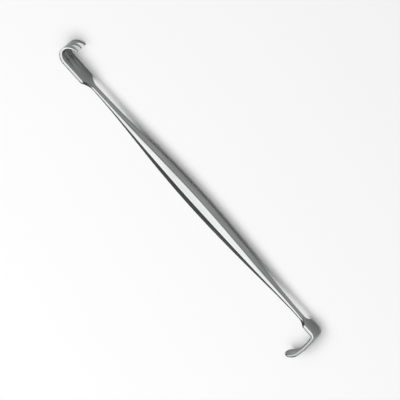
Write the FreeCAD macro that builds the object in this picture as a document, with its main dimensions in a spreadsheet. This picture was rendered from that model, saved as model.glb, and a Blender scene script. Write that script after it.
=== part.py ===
"""Double-ended surgical hand retractor: a three-tined rake, a six-sided spindle shaft and a curved blade.

The body is drawn with the shaft's axis along X, from the rake's outermost point at zero to the blade's
belly at the overall length. The rake hooks towards +Y, the blade hangs towards -Y, and Z runs across both.
The body's placement then lays the finished piece on its side, as it comes to rest on a table.
All sizes are in millimetres, and angles are in degrees.
"""
import FreeCAD, Part
import math
import os
import PartDesign
import Sketcher

from FreeCAD import Placement, Rotation, Vector

SIZES = [
    # Overall
    ("overall_length", 160.0, "from the rake's outermost point to the blade's belly"),
    ("shoulder_round", 1.0, "radius on the corners of the shoulders, seen from the front"),
    ("rake_edge_round", 0.22, "radius on the long edges of the rake"),
    ("blade_edge_round", 0.45, "radius on the long edges of the blade"),
    ("rake_stem_lap", 4.8, "how far the shaft reaches past the end of the rake's stem"),
    ("blade_stem_lap", 2.7, "how far the shaft reaches past the end of the blade's stem"),
    # Rake, seen from the side
    ("rake_thickness", 1.8, "thickness of the rake's plate"),
    ("rake_back_radius", 4.9, "outer radius of the bend beside the plate"),
    ("rake_front_radius", 3.7, "inner radius of the bend beside the plate"),
    ("rake_wall", 1.1, "thickness of the bend at its outermost point"),
    ("tine_back_radius", 5.95, "outer radius of the bend along the tines"),
    ("tine_reach", 5.35, "how far the tine tips come back from the outermost point"),
    ("tine_tip_radius", 0.24, "radius of a tine's blunt tip, seen from the side"),
    # Rake, seen from the front
    ("rake_width", 7.0, "width across the rake's plate"),
    ("rake_shoulder_run", 16.2, "from the rake's outermost point to its shoulders"),
    ("rake_stem_run", 23.3, "from that point to where the shoulders' sweep runs out along the shaft"),
    ("rake_stem_width", 1.5, "width left at the end of that sweep"),
    ("rake_stem_thickness", 1.0, "thickness left at the end of that sweep"),
    ("gap_turn", 43.0, "turn past the outermost point where the gaps between the tines begin"),
    ("gap_root", 0.5, "width of a gap at its root"),
    ("gap_root_pitch", 2.5, "distance between the two gaps at their roots"),
    ("tine_pitch", 2.86, "distance between neighbouring tine tips"),
    ("tine_tip_width", 0.8, "width of a tine at its tip"),
    # Flutes on the rake's inner face
    ("flute_radius", 1.0, "radius of the cutter that makes a flute"),
    ("flute_depth", 0.25, "depth of a flute"),
    ("flute_spacing", 2.7, "distance between the two flutes"),
    ("flute_end_at", 12.5, "place on the plate where a flute has run out"),
    # Blade, seen from the side
    ("blade_plate_thickness", 1.9, "thickness of the blade's plate, before its bend"),
    ("blade_thickness", 1.85, "thickness of the hanging blade"),
    ("blade_belly_radius", 42.0, "outer radius of the blade's long curve"),
    ("blade_belly_depth", 10.8, "depth of the belly below the shaft's axis"),
    ("blade_bend_radius", 3.1, "outer radius of the bend at the blade's root"),
    ("blade_corner_radius", 0.9, "inner radius of that bend"),
    ("lip_start_depth", 14.6, "depth where the lip begins to curl"),
    ("lip_radius", 7.8, "outer radius of the lip's curl"),
    ("lip_turn", 53.0, "how far the lip curls"),
    ("lip_tip_radius", 0.55, "radius of the lip's rounded rim"),
    ("tongue_radius", 2.7, "radius of the lip's rounded end, seen along the lip"),
    # Blade, seen from the front
    ("blade_width", 5.3, "width of the blade"),
    ("blade_shoulder_run", 7.8, "from the blade's belly back to its shoulders"),
    ("blade_stem_run", 13.2, "from the belly back to where the shoulders' sweep begins"),
    ("blade_stem_width", 1.6, "width of the plate at the start of that sweep"),
    ("blade_stem_thickness", 1.0, "thickness of the plate at the start of that sweep"),
]

# The shaft's sections, from the rake to the blade: the share of the shaft's length where each one stands,
# the width of its flat faces, the depth between them, and the width across its two side ridges.
SECTIONS = [
    ("rake_root", 0.0, 1.75, 1.15, 1.9),
    ("rake_neck", 0.065, 1.85, 1.55, 2.0),
    ("rake_taper", 0.203, 2.85, 3.1, 3.15),
    ("rake_swell", 0.348, 3.65, 5.4, 4.7),
    ("grip", 0.493, 3.7, 6.6, 5.3),
    ("blade_swell", 0.653, 3.6, 5.55, 4.7),
    ("blade_taper", 0.813, 2.8, 3.3, 3.55),
    ("blade_neck", 0.943, 1.85, 1.7, 2.15),
    ("blade_root", 1.0, 1.75, 1.2, 2.0),
]

# How far a cutting outline stands clear of the piece that it cuts.
CUT_CLEAR = 1.0
# How far a flute's cutter starts clear of the plate, and how far its path goes on past the gaps' roots.
FLUTE_CLEAR = 0.02
FLUTE_PAST_GAP = 27.0
# How far the tongue's rounded outline stands out past the lip's rim, and how far it turns to each side.
TONGUE_CLEAR = 0.03
TONGUE_SPAN = 75.0
# Two places closer than this are the same.
NEAR = 1e-4

# Where the shaft's first and last sections stand.
SHAFT_START = "(Sizes.rake_stem_run - Sizes.rake_stem_lap)"
SHAFT_END = "(Sizes.overall_length - Sizes.blade_stem_run + Sizes.blade_stem_lap)"

# The turn from the outermost point to a tine's tip, about the tines' outer centre, and the straight distance
# on that circle from a gap's root to the tip.
TIP_TURN = ("acos((Sizes.tine_back_radius - Sizes.tine_reach + Sizes.tine_tip_radius)"
            " / (Sizes.tine_back_radius - Sizes.tine_tip_radius))")
GAP_TURN = "(Sizes.gap_turn * 1 deg)"
GAP_CHORD = "(2 * Sizes.tine_back_radius * sin((%s - %s) / 2))" % (TIP_TURN, GAP_TURN)

# The circle that the tines' inner side lies on: its radius follows from the bend's wall and the tip.
TIP_AT = "(Sizes.tine_reach - Sizes.tine_tip_radius - Sizes.rake_wall)"
TIP_UP = ("(Sizes.rake_back_radius - Sizes.rake_front_radius - Sizes.rake_thickness"
          " + sqrt((Sizes.tine_back_radius - Sizes.tine_tip_radius)^2"
          " - (Sizes.tine_back_radius - Sizes.tine_reach + Sizes.tine_tip_radius)^2))")
TINE_FRONT_RADIUS = ("(%s^2 + %s^2 - Sizes.tine_tip_radius^2) / (2 * (%s + Sizes.tine_tip_radius))"
                     % (TIP_AT, TIP_UP, TIP_AT))

# The direction, from the belly's centre, where the lip begins, and the centre of the lip's rounded rim.
LIP_FROM = "(-asin((Sizes.lip_start_depth - Sizes.blade_belly_depth) / Sizes.blade_belly_radius))"
RIM_FROM = "(%s - Sizes.lip_turn * 1 deg)" % LIP_FROM
TONGUE_AT = ("Sizes.overall_length - Sizes.blade_belly_radius"
             " + (Sizes.blade_belly_radius - Sizes.lip_radius) * cos(%s)"
             " + (Sizes.lip_radius - Sizes.lip_tip_radius) * cos(%s)" % (LIP_FROM, RIM_FROM))
TONGUE_BELOW = ("Sizes.blade_belly_depth"
                " - (Sizes.blade_belly_radius - Sizes.lip_radius) * sin(%s)"
                " - (Sizes.lip_radius - Sizes.lip_tip_radius) * sin(%s)" % (LIP_FROM, RIM_FROM))

# The numbers that a sketch gives to a curve's ends and centre, to its origin and to its two axes.
START, END, CENTRE = range(1, 4)
ORIGIN = (-1, 1)
ACROSS_AXIS, UP_AXIS = -1, -2

doc = FreeCAD.newDocument("retractor")


def make_sheet():
    """Write every driving size in the spreadsheet, each with its words and its alias."""
    sheet = doc.addObject("Spreadsheet::Sheet", "Sizes")
    rows = list(SIZES)
    for name, share, width, depth, ridge in SECTIONS:
        words = name.replace("_", " ")
        rows.append((name + "_share", share, "share of the shaft's length at the " + words))
        rows.append((name + "_width", width, "width of its flat faces"))
        rows.append((name + "_depth", depth, "depth between its flat faces"))
        rows.append((name + "_ridge", ridge, "width across its side ridges"))
    for number, (alias, value, words) in enumerate(rows, start=1):
        sheet.set("A%d" % number, words)
        sheet.set("B%d" % number, str(value))
        sheet.setAlias("B%d" % number, alias)
    doc.recompute()
    return sheet


sheet = make_sheet()


def size(alias):
    """A driving size's value, read from the sheet."""
    return float(sheet.get(alias))


def run_to(end, feature):
    """The place on the shaft's axis of an end's shoulder or stem: its value now and its expression."""
    alias = "%s_%s_run" % (end, feature)
    if end == "rake":
        return size(alias), "Sizes." + alias
    return size("overall_length") - size(alias), "(Sizes.overall_length - Sizes.%s)" % alias


def on_circle(centre, radius, degrees):
    """The point of a circle at an angle counted from +X."""
    turn = math.radians(degrees)
    return Vector(centre.x + radius * math.cos(turn), centre.y + radius * math.sin(turn), 0)


def heading(start, end):
    """The angle of the line from one point to another, from 0 to 360."""
    return math.degrees(math.atan2(end.y - start.y, end.x - start.x)) % 360.0


class Outline:
    """A sketch on one of the body's origin planes, with short ways to draw and to tie sizes."""

    def __init__(self, body, name, plane):
        self.sketch = body.newObject("Sketcher::SketchObject", name)
        support = [f for f in body.Origin.OriginFeatures if f.Role == plane][0]
        self.sketch.AttachmentSupport = [(support, "")]
        self.sketch.MapMode = "FlatFace"

    def line(self, start, end):
        """Draw a line and give its number."""
        return self.sketch.addGeometry(Part.LineSegment(start, end), False)

    def arc(self, centre, radius, first, last):
        """Draw an arc counter-clockwise between two angles and give its number."""
        circle = Part.Circle(centre, Vector(0, 0, 1), radius)
        if last < first:
            last += 360.0
        return self.sketch.addGeometry(Part.ArcOfCircle(circle, math.radians(first), math.radians(last)), False)

    def tie(self, kind, *where):
        """Add a geometric constraint."""
        return self.sketch.addConstraint(Sketcher.Constraint(kind, *where))

    def measure(self, kind, *where, value, by):
        """Add a dimension with its value now and the expression that drives it."""
        number = self.sketch.addConstraint(Sketcher.Constraint(kind, *where, value))
        self.sketch.setExpression("Constraints[%d]" % number, by)

    def polygon(self, points):
        """Draw a closed run of lines and give their numbers."""
        numbers = [self.line(a, b) for a, b in zip(points, points[1:] + points[:1])]
        for first, second in zip(numbers, numbers[1:] + numbers[:1]):
            self.tie("Coincident", first, END, second, START)
        return numbers

    def move(self, part, by):
        """Tie one number of the sketch's attachment offset, such as Base.z."""
        self.sketch.setExpression("AttachmentOffset." + part, by)

    def tilt(self, degrees, by):
        """Turn the sketch's plane about its own second axis, which here is always the Z direction."""
        self.sketch.AttachmentOffset = Placement(Vector(0, 0, 0), Rotation(Vector(0, 1, 0), degrees))
        self.move("Rotation.Angle", by)


def draw_section(body, name):
    """One section of the shaft: two flat faces and a low ridge on each side, like a long hexagon."""
    half_depth = size(name + "_depth") / 2
    half_width = size(name + "_width") / 2
    half_ridge = size(name + "_ridge") / 2
    outline = Outline(body, "section_" + name, "YZ_Plane")
    outline.move("Base.z", "(1 - Sizes.%s_share) * %s + Sizes.%s_share * %s"
                 % (name, SHAFT_START, name, SHAFT_END))
    front_top, ridge_top, back_top, back_low, ridge_low, front_low = outline.polygon([
        Vector(half_depth, half_width, 0), Vector(0, half_ridge, 0), Vector(-half_depth, half_width, 0),
        Vector(-half_depth, -half_width, 0), Vector(0, -half_ridge, 0), Vector(half_depth, -half_width, 0)])
    outline.tie("Symmetric", front_top, START, back_top, START, UP_AXIS)
    outline.tie("Symmetric", front_top, START, front_low, START, ACROSS_AXIS)
    outline.tie("Symmetric", back_top, START, back_low, START, ACROSS_AXIS)
    outline.tie("PointOnObject", ridge_top, START, UP_AXIS)
    outline.tie("Symmetric", ridge_top, START, ridge_low, START, ACROSS_AXIS)
    outline.measure("DistanceX", back_top, START, front_top, START,
                    value=2 * half_depth, by="Sizes.%s_depth" % name)
    outline.measure("DistanceY", front_low, START, front_top, START,
                    value=2 * half_width, by="Sizes.%s_width" % name)
    outline.measure("DistanceY", ridge_low, START, ridge_top, START,
                    value=2 * half_ridge, by="Sizes.%s_ridge" % name)
    return outline.sketch


def sweep_radius(run, rise):
    """The radius of an arc that starts level and has fallen by the rise after the run."""
    return (run ** 2 + rise ** 2) / (2 * rise)


def rake_circles():
    """Centres and radii of the rake's bend, seen from the side, as plain numbers.

    The tip is a small circle inside the tines' outer circle and outside their inner one. The inner one's
    radius follows from that: it starts at the bend's wall and just touches the tip.
    """
    back = Vector(size("rake_back_radius"), size("rake_back_radius") - size("rake_thickness") / 2, 0)
    front = Vector(size("rake_wall") + size("rake_front_radius"),
                   size("rake_front_radius") + size("rake_thickness") / 2, 0)
    tine_back = Vector(size("tine_back_radius"), back.y, 0)
    tip_radius = size("tine_tip_radius")
    tip_x = size("tine_reach") - tip_radius
    tip_swing = size("tine_back_radius") - tip_radius
    tip = Vector(tip_x, tine_back.y + math.sqrt(tip_swing ** 2 - (tine_back.x - tip_x) ** 2), 0)
    along, up = tip.x - size("rake_wall"), tip.y - front.y
    inner_radius = (along ** 2 + up ** 2 - tip_radius ** 2) / (2 * (along + tip_radius))
    tine_front = Vector(size("rake_wall") + inner_radius, front.y, 0)
    return back, front, tine_back, tip, tine_front, inner_radius


def draw_rake_side(body):
    """The rake from the side: a tapered stem, a flat plate, a bend and the tines that thin to their tips."""
    back, front, tine_back, tip, tine_front, inner_radius = rake_circles()
    (stem_at, stem_by), (shoulder_at, shoulder_by) = run_to("rake", "stem"), run_to("rake", "shoulder")
    half, stem_half = size("rake_thickness") / 2, size("rake_stem_thickness") / 2
    outline = Outline(body, "rake_side", "XY_Plane")
    taper = sweep_radius(stem_at - shoulder_at, half - stem_half)
    below, above = Vector(shoulder_at, half - taper, 0), Vector(shoulder_at, taper - half, 0)
    stem_back = outline.arc(above, taper, 270, heading(above, Vector(stem_at, -stem_half, 0)))
    plate_back = outline.line(Vector(shoulder_at, -half, 0), Vector(back.x, -half, 0))
    bend_back = outline.arc(back, back.x, 180, 270)
    tines_back = outline.arc(tine_back, tine_back.x, heading(tine_back, tip), 180)
    tip_round = outline.arc(tip, size("tine_tip_radius"), heading(tip, tine_front), heading(tine_back, tip))
    tines_front = outline.arc(tine_front, inner_radius, heading(tine_front, tip), 180)
    bend_front = outline.arc(front, size("rake_front_radius"), 180, 270)
    plate_front = outline.line(Vector(front.x, half, 0), Vector(shoulder_at, half, 0))
    stem_front = outline.arc(below, taper, heading(below, Vector(stem_at, stem_half, 0)), 90)
    stem_end = outline.line(Vector(stem_at, stem_half, 0), Vector(stem_at, -stem_half, 0))
    outline.tie("Tangent", stem_back, START, plate_back, START)
    outline.tie("Tangent", plate_back, END, bend_back, END)
    outline.tie("Tangent", bend_back, START, tines_back, END)
    outline.tie("Tangent", tines_back, START, tip_round, END)
    outline.tie("Tangent", tip_round, START, tines_front, START)
    outline.tie("Tangent", tines_front, END, bend_front, START)
    outline.tie("Tangent", bend_front, END, plate_front, START)
    outline.tie("Tangent", plate_front, END, stem_front, END)
    outline.tie("Coincident", stem_front, START, stem_end, START)
    outline.tie("Coincident", stem_end, END, stem_back, END)
    outline.tie("Horizontal", plate_back)
    outline.tie("Horizontal", plate_front)
    outline.tie("Symmetric", plate_back, START, plate_front, END, ACROSS_AXIS)
    outline.tie("Symmetric", stem_end, START, stem_end, END, ACROSS_AXIS)
    outline.tie("Horizontal", bend_back, START, bend_back, CENTRE)
    outline.tie("PointOnObject", bend_back, START, UP_AXIS)
    outline.tie("Horizontal", bend_front, START, bend_front, CENTRE)
    outline.measure("Radius", bend_back, value=back.x, by="Sizes.rake_back_radius")
    outline.measure("Radius", tines_back, value=tine_back.x, by="Sizes.tine_back_radius")
    outline.measure("Radius", bend_front, value=size("rake_front_radius"), by="Sizes.rake_front_radius")
    outline.measure("Radius", tip_round, value=size("tine_tip_radius"), by="Sizes.tine_tip_radius")
    outline.measure("DistanceX", *ORIGIN, bend_front, START, value=size("rake_wall"), by="Sizes.rake_wall")
    outline.measure("DistanceX", *ORIGIN, tip_round, CENTRE, value=tip.x,
                    by="Sizes.tine_reach - Sizes.tine_tip_radius")
    outline.measure("DistanceX", *ORIGIN, plate_back, START, value=shoulder_at, by=shoulder_by)
    outline.measure("DistanceX", *ORIGIN, stem_end, START, value=stem_at, by=stem_by)
    outline.measure("DistanceY", plate_back, START, plate_front, END, value=2 * half, by="Sizes.rake_thickness")
    outline.measure("DistanceY", stem_end, END, stem_end, START, value=2 * stem_half,
                    by="Sizes.rake_stem_thickness")
    return outline.sketch


def blade_circles():
    """Centres of the blade's curves, seen from the side, and the lip's inner radius, as plain numbers."""
    radius, thickness = size("blade_belly_radius"), size("blade_thickness")
    half_plate = size("blade_plate_thickness") / 2
    belly = Vector(size("overall_length") - radius, -size("blade_belly_depth"), 0)
    bend_y = half_plate - size("blade_bend_radius")
    bend_swing = radius - size("blade_bend_radius")
    bend = Vector(belly.x + math.sqrt(bend_swing ** 2 - (bend_y - belly.y) ** 2), bend_y, 0)
    corner_y = -half_plate - size("blade_corner_radius")
    corner_swing = radius - thickness - size("blade_corner_radius")
    corner = Vector(belly.x + math.sqrt(corner_swing ** 2 - (corner_y - belly.y) ** 2), corner_y, 0)
    lip_from = -math.degrees(math.asin((size("lip_start_depth") - size("blade_belly_depth")) / radius))
    lip = on_circle(belly, radius - size("lip_radius"), lip_from)
    tip_radius = size("lip_tip_radius")
    tip = on_circle(lip, size("lip_radius") - tip_radius, lip_from - size("lip_turn"))
    inner_start = on_circle(belly, radius - thickness, lip_from)
    out = on_circle(Vector(0, 0, 0), 1, lip_from)
    gap = tip - inner_start
    inner_radius = (gap.Length ** 2 - tip_radius ** 2) / (2 * (tip_radius - out.dot(gap)))
    lip_inner = inner_start - out * inner_radius
    return belly, bend, corner, lip, lip_inner, inner_radius, tip, lip_from


def draw_blade_side(body):
    """The blade from the side: a tapered stem, a short plate, the bend, the long belly and the curled lip."""
    belly, bend, corner, lip, lip_inner, inner_radius, tip, lip_from = blade_circles()
    (stem_at, stem_by), (shoulder_at, shoulder_by) = run_to("blade", "stem"), run_to("blade", "shoulder")
    half, stem_half = size("blade_plate_thickness") / 2, size("blade_stem_thickness") / 2
    belly_radius, thickness = size("blade_belly_radius"), size("blade_thickness")
    outline = Outline(body, "blade_side", "XY_Plane")
    taper = sweep_radius(shoulder_at - stem_at, half - stem_half)
    below, above = Vector(shoulder_at, half - taper, 0), Vector(shoulder_at, taper - half, 0)
    stem_front = outline.arc(below, taper, 90, heading(below, Vector(stem_at, stem_half, 0)))
    plate_front = outline.line(Vector(shoulder_at, half, 0), Vector(bend.x, half, 0))
    bend_arc = outline.arc(bend, size("blade_bend_radius"), heading(belly, bend), 90)
    belly_arc = outline.arc(belly, belly_radius, lip_from, heading(belly, bend))
    lip_arc = outline.arc(lip, size("lip_radius"), heading(lip, tip), lip_from + 360)
    tip_arc = outline.arc(tip, size("lip_tip_radius"), heading(tip, lip_inner), heading(lip, tip))
    lip_inner_arc = outline.arc(lip_inner, inner_radius, heading(lip_inner, tip), lip_from + 360)
    inner_arc = outline.arc(belly, belly_radius - thickness, lip_from, heading(belly, corner))
    corner_arc = outline.arc(corner, size("blade_corner_radius"), heading(belly, corner), 90)
    plate_back = outline.line(Vector(corner.x, -half, 0), Vector(shoulder_at, -half, 0))
    stem_back = outline.arc(above, taper, heading(above, Vector(stem_at, -stem_half, 0)), 270)
    stem_end = outline.line(Vector(stem_at, -stem_half, 0), Vector(stem_at, stem_half, 0))
    outline.tie("Tangent", stem_front, START, plate_front, START)
    outline.tie("Tangent", plate_front, END, bend_arc, END)
    outline.tie("Tangent", bend_arc, START, belly_arc, END)
    outline.tie("Tangent", belly_arc, START, lip_arc, END)
    outline.tie("Tangent", lip_arc, START, tip_arc, END)
    outline.tie("Tangent", tip_arc, START, lip_inner_arc, START)
    outline.tie("Tangent", lip_inner_arc, END, inner_arc, START)
    outline.tie("Tangent", inner_arc, END, corner_arc, START)
    outline.tie("Tangent", corner_arc, END, plate_back, START)
    outline.tie("Tangent", plate_back, END, stem_back, END)
    outline.tie("Coincident", stem_back, START, stem_end, START)
    outline.tie("Coincident", stem_end, END, stem_front, END)
    outline.tie("Coincident", belly_arc, CENTRE, inner_arc, CENTRE)
    outline.tie("Horizontal", plate_front)
    outline.tie("Horizontal", plate_back)
    outline.tie("Symmetric", plate_front, START, plate_back, END, ACROSS_AXIS)
    outline.tie("Symmetric", stem_end, START, stem_end, END, ACROSS_AXIS)
    outline.measure("Radius", belly_arc, value=belly_radius, by="Sizes.blade_belly_radius")
    outline.measure("Radius", inner_arc, value=belly_radius - thickness,
                    by="Sizes.blade_belly_radius - Sizes.blade_thickness")
    outline.measure("DistanceX", *ORIGIN, belly_arc, CENTRE, value=belly.x,
                    by="Sizes.overall_length - Sizes.blade_belly_radius")
    outline.measure("DistanceY", belly_arc, CENTRE, *ORIGIN, value=-belly.y, by="Sizes.blade_belly_depth")
    outline.measure("Radius", bend_arc, value=size("blade_bend_radius"), by="Sizes.blade_bend_radius")
    outline.measure("Radius", corner_arc, value=size("blade_corner_radius"), by="Sizes.blade_corner_radius")
    outline.measure("Radius", lip_arc, value=size("lip_radius"), by="Sizes.lip_radius")
    outline.measure("Radius", tip_arc, value=size("lip_tip_radius"), by="Sizes.lip_tip_radius")
    outline.measure("DistanceY", lip_arc, END, *ORIGIN, value=size("lip_start_depth"), by="Sizes.lip_start_depth")
    outline.measure("DistanceX", *ORIGIN, plate_front, START, value=shoulder_at, by=shoulder_by)
    outline.measure("DistanceX", *ORIGIN, stem_end, START, value=stem_at, by=stem_by)
    outline.measure("DistanceY", plate_back, END, plate_front, START, value=2 * half,
                    by="Sizes.blade_plate_thickness")
    outline.measure("DistanceY", stem_end, START, stem_end, END, value=2 * stem_half,
                    by="Sizes.blade_stem_thickness")
    outline.measure("Angle", lip_arc, value=math.radians(size("lip_turn")), by="Sizes.lip_turn * 1 deg")
    ray = outline.line(belly, on_circle(belly, belly_radius, lip_from))
    outline.sketch.setConstruction(ray, True)
    outline.tie("Coincident", ray, START, belly_arc, CENTRE)
    outline.tie("Coincident", ray, END, belly_arc, START)
    outline.tie("PointOnObject", inner_arc, START, ray)
    return outline.sketch


def draw_shoulders(body, name, end):
    """The two regions beside a stem that leave the plate's shoulders and their hollow sweep.

    The sweep is an arc that runs from the shoulder's corner and comes level with the shaft at the stem.
    """
    (corner_at, corner_by), (stem_at, stem_by) = run_to(end, "shoulder"), run_to(end, "stem")
    half, stem_half = size(end + "_width") / 2, size(end + "_stem_width") / 2
    side = 1 if stem_at > corner_at else -1
    radius = sweep_radius(abs(stem_at - corner_at), half - stem_half)
    far, top = stem_at + side * CUT_CLEAR, half + CUT_CLEAR
    outline = Outline(body, name, "XZ_Plane")
    for up in (1, -1):
        centre = Vector(stem_at, up * (stem_half + radius), 0)
        corner = Vector(corner_at, up * half, 0)
        stem = Vector(stem_at, up * stem_half, 0)
        ends = sorted((heading(centre, corner), heading(centre, stem)))
        sweep = outline.arc(centre, radius, *ends)
        corner_end, stem_end = (START, END) if side * up > 0 else (END, START)
        along = outline.line(stem, Vector(far, stem.y, 0))
        rise_line = outline.line(Vector(far, stem.y, 0), Vector(far, up * top, 0))
        back = outline.line(Vector(far, up * top, 0), Vector(corner_at, up * top, 0))
        drop = outline.line(Vector(corner_at, up * top, 0), corner)
        outline.tie("Tangent", sweep, stem_end, along, START)
        outline.tie("Coincident", along, END, rise_line, START)
        outline.tie("Coincident", rise_line, END, back, START)
        outline.tie("Coincident", back, END, drop, START)
        outline.tie("Coincident", drop, END, sweep, corner_end)
        outline.tie("Horizontal", along)
        outline.tie("Vertical", rise_line)
        outline.tie("Horizontal", back)
        outline.tie("Vertical", drop)
        outline.measure("DistanceX", *ORIGIN, drop, END, value=corner_at, by=corner_by)
        outline.measure("DistanceX", *ORIGIN, along, START, value=stem_at, by=stem_by)
        for number, value, by in ((drop, half, "Sizes.%s_width / 2" % end),
                                  (along, stem_half, "Sizes.%s_stem_width / 2" % end)):
            point = (number, END if number == drop else START)
            where = (*ORIGIN, *point) if up > 0 else (*point, *ORIGIN)
            outline.measure("DistanceY", *where, value=value, by=by)
        outline.measure("DistanceX", *((along, START, along, END) if side > 0 else (along, END, along, START)),
                        value=CUT_CLEAR, by="%s" % CUT_CLEAR)
        outline.measure("DistanceY", *((drop, END, drop, START) if up > 0 else (drop, START, drop, END)),
                        value=CUT_CLEAR, by="%s" % CUT_CLEAR)
    return outline.sketch


def draw_tine_gap(body):
    """One gap between two tines and the trim of the outer tine's side, on a plane along the tines' chord.

    The gap starts round at its root and widens evenly, so that each tine narrows to its tip.
    """
    _, _, tine_back, tip, _, _ = rake_circles()
    tip_turn = 180 - heading(tine_back, tip)
    chord = 2 * tine_back.x * math.sin(math.radians(tip_turn - size("gap_turn")) / 2)
    end_x = chord + CUT_CLEAR
    end_by = "%s + %s" % (GAP_CHORD, CUT_CLEAR)
    outline = Outline(body, "tine_gap", "XZ_Plane")
    outline.tilt(90 - (size("gap_turn") + tip_turn) / 2, "90 deg - (%s + %s) / 2" % (GAP_TURN, TIP_TURN))
    outline.move("Base.x", "Sizes.tine_back_radius * (1 - cos(%s))" % GAP_TURN)
    outline.move("Base.z", "-(Sizes.rake_back_radius - Sizes.rake_thickness / 2"
                           " + Sizes.tine_back_radius * sin(%s))" % GAP_TURN)

    def stretched(root, tip_value):
        return root + (tip_value - root) * end_x / chord

    def stretched_by(root, tip_by):
        return "%s + (%s - %s) * (%s) / %s" % (root, tip_by, root, end_by, GAP_CHORD)

    middle, root = size("gap_root_pitch") / 2, size("gap_root") / 2
    low_root, high_root = middle - root, middle + root
    low_end = stretched(low_root, size("tine_tip_width") / 2)
    high_end = stretched(high_root, size("tine_pitch") - size("tine_tip_width") / 2)
    round_root = outline.arc(Vector(0, middle, 0), root, 90, 270)
    low = outline.line(Vector(0, low_root, 0), Vector(end_x, low_end, 0))
    mouth = outline.line(Vector(end_x, low_end, 0), Vector(end_x, high_end, 0))
    high = outline.line(Vector(end_x, high_end, 0), Vector(0, high_root, 0))
    outline.tie("Coincident", round_root, END, low, START)
    outline.tie("Coincident", low, END, mouth, START)
    outline.tie("Coincident", mouth, END, high, START)
    outline.tie("Coincident", high, END, round_root, START)
    outline.tie("Vertical", mouth)
    outline.tie("PointOnObject", round_root, CENTRE, UP_AXIS)
    outline.tie("PointOnObject", round_root, START, UP_AXIS)
    outline.tie("PointOnObject", round_root, END, UP_AXIS)
    outline.measure("Radius", round_root, value=root, by="Sizes.gap_root / 2")
    outline.measure("DistanceY", *ORIGIN, round_root, CENTRE, value=middle, by="Sizes.gap_root_pitch / 2")
    outline.measure("DistanceX", *ORIGIN, low, END, value=end_x, by=end_by)
    outline.measure("DistanceY", *ORIGIN, low, END, value=low_end, by=stretched_by(
        "(Sizes.gap_root_pitch - Sizes.gap_root) / 2", "Sizes.tine_tip_width / 2"))
    outline.measure("DistanceY", *ORIGIN, mouth, END, value=high_end, by=stretched_by(
        "(Sizes.gap_root_pitch + Sizes.gap_root) / 2", "(Sizes.tine_pitch - Sizes.tine_tip_width / 2)"))

    side, top = size("rake_width") / 2, size("rake_width") / 2 + CUT_CLEAR
    trim_end = stretched(side, size("tine_pitch") + size("tine_tip_width") / 2)
    slope, far, lid, near = outline.polygon([
        Vector(0, side, 0), Vector(end_x, trim_end, 0), Vector(end_x, top, 0), Vector(0, top, 0)])
    outline.tie("Vertical", far)
    outline.tie("Horizontal", lid)
    outline.tie("PointOnObject", near, START, UP_AXIS)
    outline.tie("PointOnObject", near, END, UP_AXIS)
    outline.measure("DistanceX", *ORIGIN, far, START, value=end_x, by=end_by)
    outline.measure("DistanceY", *ORIGIN, slope, START, value=side, by="Sizes.rake_width / 2")
    outline.measure("DistanceY", *ORIGIN, near, START, value=top, by="Sizes.rake_width / 2 + %s" % CUT_CLEAR)
    outline.measure("DistanceY", *ORIGIN, slope, END, value=trim_end, by=stretched_by(
        "Sizes.rake_width / 2", "(Sizes.tine_pitch + Sizes.tine_tip_width / 2)"))
    return outline.sketch


def draw_flute(body):
    """A flute's round cutter and its path: it runs round inside the bend and lifts out along the plate."""
    _, front, _, _, tine_front, inner_radius = rake_circles()
    offset = size("flute_radius") - size("flute_depth")
    offset_by = "(Sizes.flute_radius - Sizes.flute_depth)"
    lift = Vector(size("flute_end_at"), size("rake_thickness") / 2 + size("flute_radius") + FLUTE_CLEAR, 0)
    bend_radius, tine_radius = size("rake_front_radius") - offset, inner_radius - offset
    reach = math.hypot(lift.x - front.x, lift.y - front.y)
    leave = heading(front, lift) - math.degrees(math.acos(bend_radius / reach))
    path = Outline(body, "flute_path", "XY_Plane")
    path.move("Base.z", "Sizes.flute_spacing / 2")
    straight = path.line(lift, on_circle(front, bend_radius, leave))
    bend = path.arc(front, bend_radius, 180, leave)
    tines = path.arc(tine_front, tine_radius, 180 - size("gap_turn") - FLUTE_PAST_GAP, 180)
    path.tie("Tangent", straight, END, bend, END)
    path.tie("Tangent", bend, START, tines, END)
    path.measure("DistanceX", *ORIGIN, straight, START, value=lift.x, by="Sizes.flute_end_at")
    path.measure("DistanceY", *ORIGIN, straight, START, value=lift.y,
                 by="Sizes.rake_thickness / 2 + Sizes.flute_radius + %s" % FLUTE_CLEAR)
    path.measure("Radius", bend, value=bend_radius, by="Sizes.rake_front_radius - %s" % offset_by)
    path.measure("DistanceX", *ORIGIN, bend, CENTRE, value=front.x, by="Sizes.rake_wall + Sizes.rake_front_radius")
    path.measure("DistanceY", *ORIGIN, bend, CENTRE, value=front.y,
                 by="Sizes.rake_thickness / 2 + Sizes.rake_front_radius")
    path.tie("Horizontal", bend, START, bend, CENTRE)
    path.measure("Angle", tines, value=math.radians(size("gap_turn") + FLUTE_PAST_GAP),
                 by="%s + %s deg" % (GAP_TURN, FLUTE_PAST_GAP))
    path.measure("Radius", tines, value=tine_radius, by=TINE_FRONT_RADIUS + " - " + offset_by)

    cutter = Outline(body, "flute_cutter", "YZ_Plane")
    cutter.move("Base.z", "Sizes.flute_end_at")
    ring = cutter.sketch.addGeometry(
        Part.Circle(Vector(lift.y, size("flute_spacing") / 2, 0), Vector(0, 0, 1), size("flute_radius")), False)
    cutter.measure("Radius", ring, value=size("flute_radius"), by="Sizes.flute_radius")
    cutter.measure("DistanceX", *ORIGIN, ring, CENTRE, value=lift.y,
                   by="Sizes.rake_thickness / 2 + Sizes.flute_radius + %s" % FLUTE_CLEAR)
    cutter.measure("DistanceY", *ORIGIN, ring, CENTRE, value=size("flute_spacing") / 2,
                   by="Sizes.flute_spacing / 2")
    return path.sketch, cutter.sketch


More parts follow.
